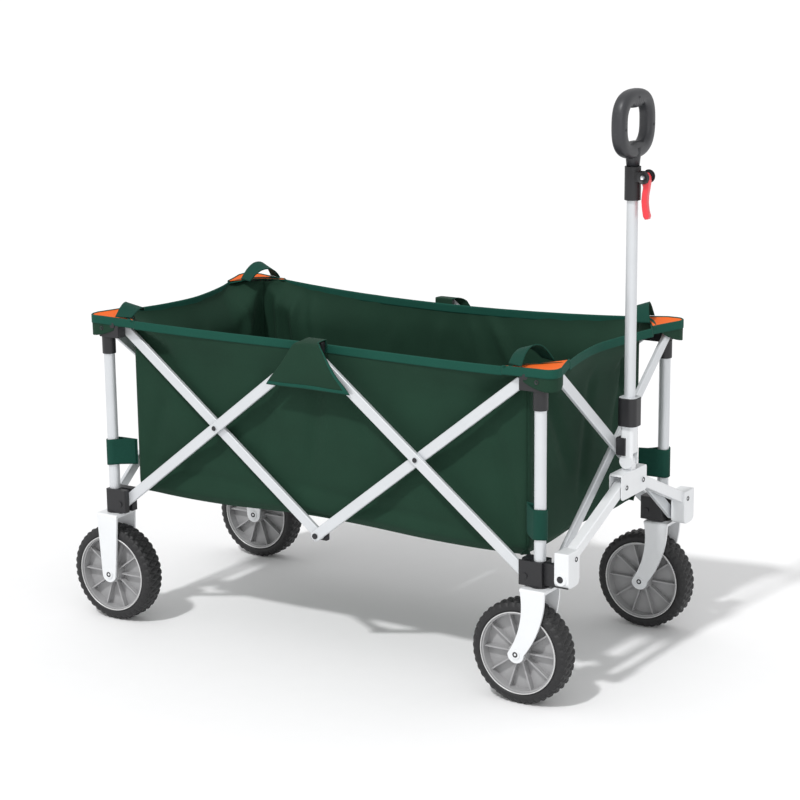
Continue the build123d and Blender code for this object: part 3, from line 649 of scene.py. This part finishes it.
def buildFlap(side, sign):
    f = flapSettings
    start = rimHeight(0, rimShape["sideSpan"], bagSettings["sideDip"])

    def place(u, v):
        spread = f["topHalf"] + (f["bottomHalf"] - f["topHalf"]) * max((v - 0.30) / 0.70, 0.0) ** 0.75
        across = (u * 2 - 1) * spread
        inner = bagSettings["halfWidth"] + 0.0022
        if v < 0.12:  # up the inside of the hub
            s = v / 0.12
            out, height = inner + 0.0004 * s, start - 0.004 + (f["crest"] - start + 0.004) * smoothStep(s, 0, 1)
        elif v < 0.36:  # over the hub
            s = (v - 0.12) / 0.24
            out, height = inner + 0.0004 + (f["over"] - inner - 0.0004) * s, f["crest"] - 0.004 * s ** 3
        else:  # down over the bar ends
            s = (v - 0.36) / 0.64
            out = f["over"] + 0.0030 * math.sin(math.pi * s) + 0.0012 * math.sin(u * 9) * s
            height = f["crest"] - 0.004 - (f["crest"] - 0.004 - f["bottom"]) * s
        droop = smoothStep(abs(across), 0.016, 0.050) * 0.010 * smoothStep(v, 0.05, 0.4) * (1 - smoothStep(v, 0.6, 1.0))
        return Vector((across, sign * out, height - droop))

    def placeTrim(u, v):
        point = place(0.972 + (v - 0.5) * 0.05, u)
        return point + Vector((0, sign * 0.0010, 0.0003))

    def placeSeam(u, v):
        point = place(u, 0.965 + (v - 0.5) * 0.05)
        return point + Vector((0, sign * 0.0010, 0.0))

    seam = clothGrid("hub_flap_seam_" + side, 40, 4, placeSeam, (0.17, 0.005), tapeCloth, "top_centre_" + side, 0.0006)
    flap = clothGrid("hub_flap_" + side, 40, 44, place, (0.10, 0.115), bagCloth, "top_centre_" + side, 0.0010)
    trim = clothGrid("hub_flap_trim_" + side, 44, 6, placeTrim, (0.115, 0.006), tapeCloth, "top_centre_" + side, 0.0006)


for sideName, sideSign in sideSigns.items():
    buildFlap(sideName, sideSign)
print("hub flaps made")


strapSettings = {"front": (0.284, 0.335), "rear": (0.293, 0.340), "gap": 0.0018}


def buildStrap(corner):
    signX, signY = cornerSigns[corner]
    end, side = corner.split("_")
    low, high = strapSettings[end]
    postLow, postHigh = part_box("post_" + corner)
    centre = Vector(((postLow.x + postHigh.x) / 2 * signX, (postLow.y + postHigh.y) / 2 * signY))
    radius = 0.0100 + strapSettings["gap"]
    anchor = Vector((bagSettings["halfLength"] - 0.003, bagSettings["halfWidth"] - 0.001))
    away = (anchor - centre)
    distance = away.length
    heading = math.atan2(away.y, away.x)
    opening = math.acos(radius / distance)

    def place(u, v):
        # from the bag's corner seam, round the post and back over itself as a loose tail
        if u < 0.25:
            s = u / 0.25
            meet = centre + Vector((math.cos(heading + opening), math.sin(heading + opening))) * radius
            flat = anchor.lerp(meet, s)
        elif u < 0.80:
            s = (u - 0.25) / 0.55
            angle = heading + opening + (2 * math.pi - 2 * opening) * s
            flat = centre + Vector((math.cos(angle), math.sin(angle))) * radius
        else:
            s = (u - 0.80) / 0.20
            meet = centre + Vector((math.cos(heading - opening), math.sin(heading - opening))) * radius
            flat = meet.lerp(anchor, s * 0.92)
        skew = 0.0012 * math.sin(u * 11 + signX)
        return Vector((signX * flat.x, signY * flat.y, low + (high - low) * v + skew))
    strap = clothGrid("post_strap_" + corner, 90, 14, place, (0.135, high - low), webbingCloth, corner + "_corner",
                      0.0015)
    return strap


for cornerName in cornerSigns:
    buildStrap(cornerName)
print("post straps made")


tyreSettings = {"lugs": 40, "depth": 0.0026, "diamond": 0.0135, "steps": 480, "bead": 0.0712}


def grooveShape(value):
    off = abs((value % 1.0) - 0.5) * 2
    return smoothStep(1 - off, 0.0, 1.0) ** 2.4


def buildTyre(corner):
    low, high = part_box("tyre_" + corner)
    centre = (low + high) / 2
    outer, half = (high.z - low.z) / 2, (high.y - low.y) / 2
    bead, body = tyreSettings["bead"], corner + "_wheel"
    outline = [(-half + 0.0012, bead), (-half + 0.0002, bead + 0.0045), (-half + 0.0006, outer - 0.0085),
               (-half + 0.0034, outer - 0.0028),
               (-half + 0.0085, outer - 0.0004), (0.0, outer), (half - 0.0085, outer - 0.0004),
               (half - 0.0034, outer - 0.0028),
               (half - 0.0006, outer - 0.0085), (half - 0.0002, bead + 0.0045), (half - 0.0012, bead)]
    bm = bmesh.new()
    verts = [bm.verts.new((0.0, across, radius)) for across, radius in outline]
    edges = [bm.edges.new(pair) for pair in zip(verts, verts[1:])]
    edges.append(bm.edges.new((verts[-1], verts[0])))
    bmesh.ops.subdivide_edges(bm, edges=edges[1:-2], cuts=3, use_grid_fill=False)
    middle = [edge for edge in bm.edges if min(v.co.z for v in edge.verts) > outer - 0.001]
    bmesh.ops.subdivide_edges(bm, edges=middle, cuts=1)
    bmesh.ops.spin(bm, geom=bm.verts[:] + bm.edges[:], cent=(0, 0, 0), axis=(0, 1, 0), dvec=(0, 0, 0),
                   angle=2 * math.pi,
                   steps=tyreSettings["steps"], use_merge=True, use_duplicate=False)
    bmesh.ops.remove_doubles(bm, verts=bm.verts, dist=0.00002)
    for vert in bm.verts:
        radius = math.hypot(vert.co.x, vert.co.z)
        turn = math.atan2(vert.co.z, vert.co.x) / (2 * math.pi) * tyreSettings["lugs"]
        across = vert.co.y
        crown = 1 - smoothStep(abs(across), half - 0.0085, half - 0.004)
        shoulder = smoothStep(radius, outer - 0.013, outer - 0.005) * (1 - crown)
        skew = across / tyreSettings["diamond"]
        diamond = max(grooveShape(turn + skew / 2), grooveShape(turn - skew / 2))
        scallop = grooveShape(turn + 0.5 * (1 if across > 0 else 0))
        cut = tyreSettings["depth"] * (diamond * crown + scallop * shoulder)
        vert.co.x *= (radius - cut) / radius
        vert.co.z *= (radius - cut) / radius
    bmesh.ops.recalc_face_normals(bm, faces=bm.faces)
    bmesh.ops.translate(bm, verts=bm.verts, vec=centre)
    tyre = finishPiece("treaded_tyre_" + corner, bm, tyreRubber, body)
    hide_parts("tyre_" + corner)

    bm = bmesh.new()
    for across in (-half + 0.0006, half - 0.0006):
        ring = bmesh.ops.create_circle(bm, cap_ends=False, segments=10, radius=0.0010)["verts"]
        bmesh.ops.rotate(bm, verts=ring, cent=(0, 0, 0), matrix=Matrix.Rotation(math.pi / 2, 3, "Y"))
        bmesh.ops.translate(bm, verts=ring, vec=(0, across, bead - 0.0014))
        loopEdges = list({edge for vert in ring for edge in vert.link_edges})
        bmesh.ops.spin(bm, geom=ring + loopEdges, cent=(0, 0, 0), axis=(0, 1, 0), dvec=(0, 0, 0), angle=2 * math.pi,
                       steps=96, use_merge=True, use_duplicate=False)
    bmesh.ops.remove_doubles(bm, verts=bm.verts, dist=0.00002)
    bmesh.ops.recalc_face_normals(bm, faces=bm.faces)
    bmesh.ops.translate(bm, verts=bm.verts, vec=centre)
    finishPiece("hub_ring_" + corner, bm, ringPlastic, body)


for cornerName in cornerSigns:
    buildTyre(cornerName)
print("tyres made")


def boltHead(name, centre, axis, radius, body, height=0.0012, material=boltSteelAndShade):
    # low round head with a round socket
    bm = bmesh.new()
    bmesh.ops.create_cone(bm, cap_ends=True, segments=24, radius1=radius, radius2=radius * 0.86, depth=height)
    top = max(bm.faces, key=lambda face: face.calc_center_median().z)
    bmesh.ops.inset_individual(bm, faces=[top], thickness=radius * 0.45)
    for vert in top.verts:
        vert.co.z -= height * 0.8
    turned = Vector(axis).to_track_quat("Z", "Y").to_matrix().to_4x4()
    bmesh.ops.transform(bm, verts=bm.verts, matrix=Matrix.Translation(centre) @ turned)
    return finishPiece(name, bm, material, body, smooth=False)


def addBolts():
    for side, sign in sideSigns.items():
        for end in endSigns:
            low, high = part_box("side_bar_%s_%s_rise" % (side, end))
            face = (low.y if sign < 0 else high.y) + sign * 0.0004
            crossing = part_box("side_bar_%s_%s_fall" % (side, end))
            middle = (crossing[0] + crossing[1]) / 2
            boltHead("crossing_bolt_%s_%s" % (side, end), (middle.x, face, middle.z), (0, sign, 0), 0.0046,
                     "%s_%s_rise" % (side, end))
        low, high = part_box("bottom_hub_" + side)
        face = (low.y if sign < 0 else high.y) + sign * 0.0004
        boltHead("hub_bolt_" + side, (0, face, (low.z + high.z) / 2), (0, sign, 0), 0.0046,
                 "frame_centre_right" if side == "right" else "bottom_centre_left")
        low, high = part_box("clevis_" + side)
        boltHead("arm_bolt_" + side, (high.x + 0.0003, sign * 0.209, 0.254), (1, 0, 0), 0.0046,
                 "front_%s_corner" % side)
        boltHead("base_bolt_" + side, (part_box("handle_base")[1].x + 0.0003, sign * 0.031, 0.331), (1, 0, 0), 0.0046,
                 "handle_base")
    for corner, (signX, signY) in cornerSigns.items():
        low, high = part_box("tyre_" + corner)
        middle = (low + high) / 2
        forkLow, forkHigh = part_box("fork_" + corner)
        end, side = corner.split("_")
        body = corner + "_caster" if end == "front" else corner + "_corner"
        boltHead("axle_bolt_" + corner, (middle.x, forkLow.y - 0.0003, middle.z), (0, -1, 0), 0.0050, body)
        boltHead("axle_nut_" + corner, (middle.x, forkHigh.y + 0.0003, middle.z), (0, 1, 0), 0.0050, body)
        boltHead("pocket_snap_" + corner, (signX * (rimShape["endOut"] - 0.030),
                                           signY * (rimShape["sideOut"] + 0.0008), 0.5480), (0, signY, 0), 0.0042,
                 corner + "_top")


addBolts()
print("bolts made")


gripSettings = {"centre": 0.9355, "reachY": 0.0500, "reachZ": 0.0440, "bar": 0.0125, "power": 2.7, "ribs": 6,
                "ribDepth": 0.0016}


def buildGrip():
    g = gripSettings
    low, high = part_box("handle_grip")
    axisX = (low.x + high.x) / 2
    bm = bmesh.new()
    section = bmesh.ops.create_circle(bm, cap_ends=False, segments=32, radius=1.0)["verts"]
    for vert in section:  # rounded-square section
        angle = math.atan2(vert.co.y, vert.co.x)
        across = math.copysign(abs(math.cos(angle)) ** 0.75, math.cos(angle)) * g["bar"] * 0.98
        around = math.copysign(abs(math.sin(angle)) ** 0.75, math.sin(angle)) * g["bar"]
        vert.co = Vector((across, 0.0, g["reachZ"] + around))
    loopEdges = list({edge for vert in section for edge in vert.link_edges})
    bmesh.ops.spin(bm, geom=section + loopEdges, cent=(0, 0, 0), axis=(1, 0, 0), dvec=(0, 0, 0), angle=2 * math.pi,
                   steps=160, use_merge=True, use_duplicate=False)
    bmesh.ops.remove_doubles(bm, verts=bm.verts, dist=0.00002)
    for vert in bm.verts:
        turn = math.atan2(vert.co.z, vert.co.y)
        off = math.hypot(vert.co.y, vert.co.z) - g["reachZ"]
        inner = min(max(-off / g["bar"], 0.0), 1.0)
        if 1.05 < turn < 2.10:  # thicker top bar with finger ribs beneath
            lift = smoothStep(turn, 1.05, 1.35) * (1 - smoothStep(turn, 1.80, 2.10))
            off -= inner * lift * (0.0045 + g["ribDepth"] * math.sin((turn - 1.05) / 1.05 * math.pi * 2 * g["ribs"]))
        if -2.2 < turn < -0.94:  # fuller foot where the neck joins
            off -= inner * 0.0035 * smoothStep(turn, -2.2, -1.7) * (1 - smoothStep(turn, -1.4, -0.94))
        squared = (abs(math.cos(turn)) ** g["power"] + abs(math.sin(turn)) ** g["power"]) ** (-1 / g["power"])
        vert.co.y = (g["reachY"] * min(squared, 1.11) + off) * math.cos(turn)
        vert.co.z = (g["reachZ"] * min(squared, 1.11) + off) * math.sin(turn)
    bmesh.ops.recalc_face_normals(bm, faces=bm.faces)
    bmesh.ops.translate(bm, verts=bm.verts, vec=(axisX, 0, g["centre"]))
    neck = bmesh.ops.create_cone(bm, cap_ends=True, segments=40, radius1=0.0108, radius2=0.0140, depth=0.030)["verts"]
    bmesh.ops.translate(bm, verts=neck, vec=(axisX, 0, 0.8815))
    grip = finishPiece("ring_grip", bm, gripPlastic, "grip")
    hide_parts("handle_grip")
    for index, (y, z) in enumerate(((-0.050, 0.930), (0.050, 0.930), (-0.004, 0.9790), (0.0, 0.893))):
        boltHead("grip_screw_%d" % index, (axisX + 0.0124, y, z), (1, 0, 0), 0.0026, "grip", height=0.0008)


def buildLever():
    low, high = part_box("release_lever")
    front, top, bottom = high.x, high.z, low.z
    pivot = front - 0.0082
    # side profile, clockwise from the top: round head, slim waist, flared tail
    profile = [(pivot - 0.0070, top - 0.004), (pivot - 0.0030, top - 0.0005), (pivot + 0.0030, top - 0.0005),
               (pivot + 0.0070, top - 0.006),
               (pivot + 0.0078, top - 0.014), (pivot + 0.0062, top - 0.026), (pivot + 0.0040, top - 0.038),
               (pivot + 0.0036, top - 0.050),
               (pivot + 0.0052, top - 0.062), (pivot + 0.0080, bottom + 0.0060), (pivot + 0.0066, bottom + 0.0012),
               (pivot + 0.0010, bottom + 0.0004),
               (pivot - 0.0024, bottom + 0.0055), (pivot - 0.0046, top - 0.058), (pivot - 0.0058, top - 0.046),
               (pivot - 0.0046, top - 0.034),
               (pivot - 0.0030, top - 0.024), (pivot - 0.0066, top - 0.013)]
    bm = bmesh.new()
    verts = [bm.verts.new((x, low.y + 0.001, z)) for x, z in profile]
    face = bm.faces.new(verts)
    made = bmesh.ops.extrude_face_region(bm, geom=[face])
    bmesh.ops.translate(bm, verts=[item for item in made["geom"] if isinstance(item, bmesh.types.BMVert)],
                        vec=(0, high.y - low.y - 0.002, 0))
    bmesh.ops.recalc_face_normals(bm, faces=bm.faces)
    rims = [edge for edge in bm.edges if abs(edge.verts[0].co.y - edge.verts[1].co.y) < 0.0001]
    bmesh.ops.bevel(bm, geom=rims, offset=0.0016, offset_type="OFFSET", segments=3, profile=0.5, affect="EDGES",
                    material=-1)
    lever = finishPiece("red_lever", bm, redPlastic, "release_lever")
    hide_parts("release_lever")


buildGrip()
buildLever()
print("grip and lever made")


def buildClevis(side, sign):
    # folded plate with rounded corners, a raised boss low on its outer face
    low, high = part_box("clevis_" + side)
    size, centre = high - low, (low + high) / 2
    bm = bmesh.new()
    bmesh.ops.create_cube(bm, size=1.0)
    bmesh.ops.scale(bm, verts=bm.verts, vec=size)
    bottom = [edge for edge in bm.edges if abs(edge.verts[0].co.x
                                               - edge.verts[1].co.x) > 0.01 and edge.verts[0].co.z < 0]
    bmesh.ops.bevel(bm, geom=bottom, offset=0.012, offset_type="OFFSET", segments=6, profile=0.5, affect="EDGES",
                    material=-1)
    sharp = [edge for edge in bm.edges if len(edge.link_faces) == 2 and edge.calc_face_angle() > 0.9]
    bmesh.ops.bevel(bm, geom=sharp, offset=0.0022, offset_type="OFFSET", segments=3, profile=0.5, affect="EDGES",
                    material=-1)
    bmesh.ops.translate(bm, verts=bm.verts, vec=centre)
    face = low.y if sign < 0 else high.y
    boss = bmesh.ops.create_cone(bm, cap_ends=True, segments=36, radius1=0.0115, radius2=0.0105, depth=0.0024)["verts"]
    bmesh.ops.rotate(bm, verts=boss, cent=(0, 0, 0),
                     matrix=Matrix.Rotation(math.pi / 2 if sign < 0 else -math.pi / 2, 3, "X"))
    bmesh.ops.translate(bm, verts=boss, vec=(centre.x - 0.001, face + sign * 0.0008, low.z + 0.0165))
    clevis = finishPiece("clevis_plate_" + side, bm, forkPaint, "front_%s_corner" % side, smooth=False)
    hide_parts("clevis_" + side)
    boltHead("clevis_bolt_" + side, (centre.x - 0.001, face + sign * 0.0026, low.z + 0.0165), (0, sign, 0), 0.0058,
             "front_%s_corner" % side)


def buildClampBoss():
    low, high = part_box("handle_neck_clamp")
    x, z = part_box("release_lever")[1].x - 0.0082, 0.850
    for sign in (-1, 1):
        face = (low.y if sign < 0 else high.y) - sign * 0.0012
        boltHead("clamp_boss_%s" % ("right" if sign < 0 else "left"), (x, face, z), (0, sign, 0), 0.0112, "handle",
                 height=0.0034, material=blackNylon)
        boltHead("clamp_screw_%s" % ("right" if sign < 0 else "left"), (x, face + sign * 0.0012, z), (0, sign, 0),
                 0.0040, "handle", height=0.0014, material=plateSteel)


for sideName, sideSign in sideSigns.items():
    buildClevis(sideName, sideSign)
buildClampBoss()
print("clevises and clamp boss made")


studioSettings = {"key": (-0.235, -3.76, 5.3), "keyAngle": 0.065, "keyPower": 1.75, "fillPower": 14.0, "world": 0.78,
                  "floor": (0.86, 0.86, 0.865)}
cameraSettings = {"azimuth": 32.81, "elevation": 14.25, "roll": -0.74, "distance": 4.127, "lens": 103.4,
                  "shift": (0.01875, 0.0455), "target": (0, 0, 0.35)}


def addLamp(name, place, target, size, power):
    lamp = bpy.data.lights.new(name, "AREA")
    lamp.shape = "DISK"
    lamp.size = size
    lamp.energy = power
    holder = bpy.data.objects.new(name, lamp)
    holder.location = place
    holder.rotation_euler = (Vector(target) - Vector(place)).to_track_quat("-Z", "Y").to_euler()
    bpy.context.scene.collection.objects.link(holder)


def buildStudio():
    s = studioSettings
    bm = bmesh.new()
    bmesh.ops.create_grid(bm, x_segments=2, y_segments=2, size=60.0)
    mesh = bpy.data.meshes.new("studio_floor")
    bm.to_mesh(mesh)
    bm.free()
    floor = bpy.data.objects.new("studio_floor", mesh)
    bpy.context.scene.collection.objects.link(floor)
    mesh.materials.append(hardMaterial("floorPaint", s["floor"], 0.9, drift=0.01, bump=0.0))
    sun = bpy.data.lights.new("keyLamp", "SUN")
    sun.energy, sun.angle = s["keyPower"], s["keyAngle"]
    holder = bpy.data.objects.new("keyLamp", sun)
    holder.rotation_euler = (Vector((0, 0, 0.3)) - Vector(s["key"])).to_track_quat("-Z", "Y").to_euler()
    bpy.context.scene.collection.objects.link(holder)
    addLamp("frontFill", (2.4, -2.6, 1.7), (0, 0, 0.3), 2.2, s["fillPower"])
    world = bpy.data.worlds.new("studioAir")
    world.use_nodes = True
    world.node_tree.nodes["Background"].inputs["Color"].default_value = (1, 1, 1, 1)
    world.node_tree.nodes["Background"].inputs["Strength"].default_value = s["world"]
    bpy.context.scene.world = world
    bpy.context.scene.view_settings.view_transform = "Standard"


def addCamera():
    c = cameraSettings
    az, el, roll = (math.radians(c[key]) for key in ("azimuth", "elevation", "roll"))
    back = Vector((math.sin(az) * math.cos(el), -math.cos(az) * math.cos(el), math.sin(el)))
    right = Vector((math.cos(az), math.sin(az), 0))
    up = back.cross(right)
    turnedRight = right * math.cos(roll) + up * math.sin(roll)
    turnedUp = up * math.cos(roll) - right * math.sin(roll)
    camera = bpy.data.cameras.new("studioCamera")
    camera.lens = c["lens"]
    camera.sensor_width = 36.0
    camera.shift_x, camera.shift_y = c["shift"]
    holder = bpy.data.objects.new("studioCamera", camera)
    turn = Matrix((turnedRight, turnedUp, back)).transposed().to_4x4()
    holder.matrix_world = Matrix.Translation(Vector(c["target"]) + back * c["distance"]) @ turn
    bpy.context.scene.collection.objects.link(holder)
    bpy.context.scene.camera = holder


buildStudio()
addCamera()
print("studio ready")
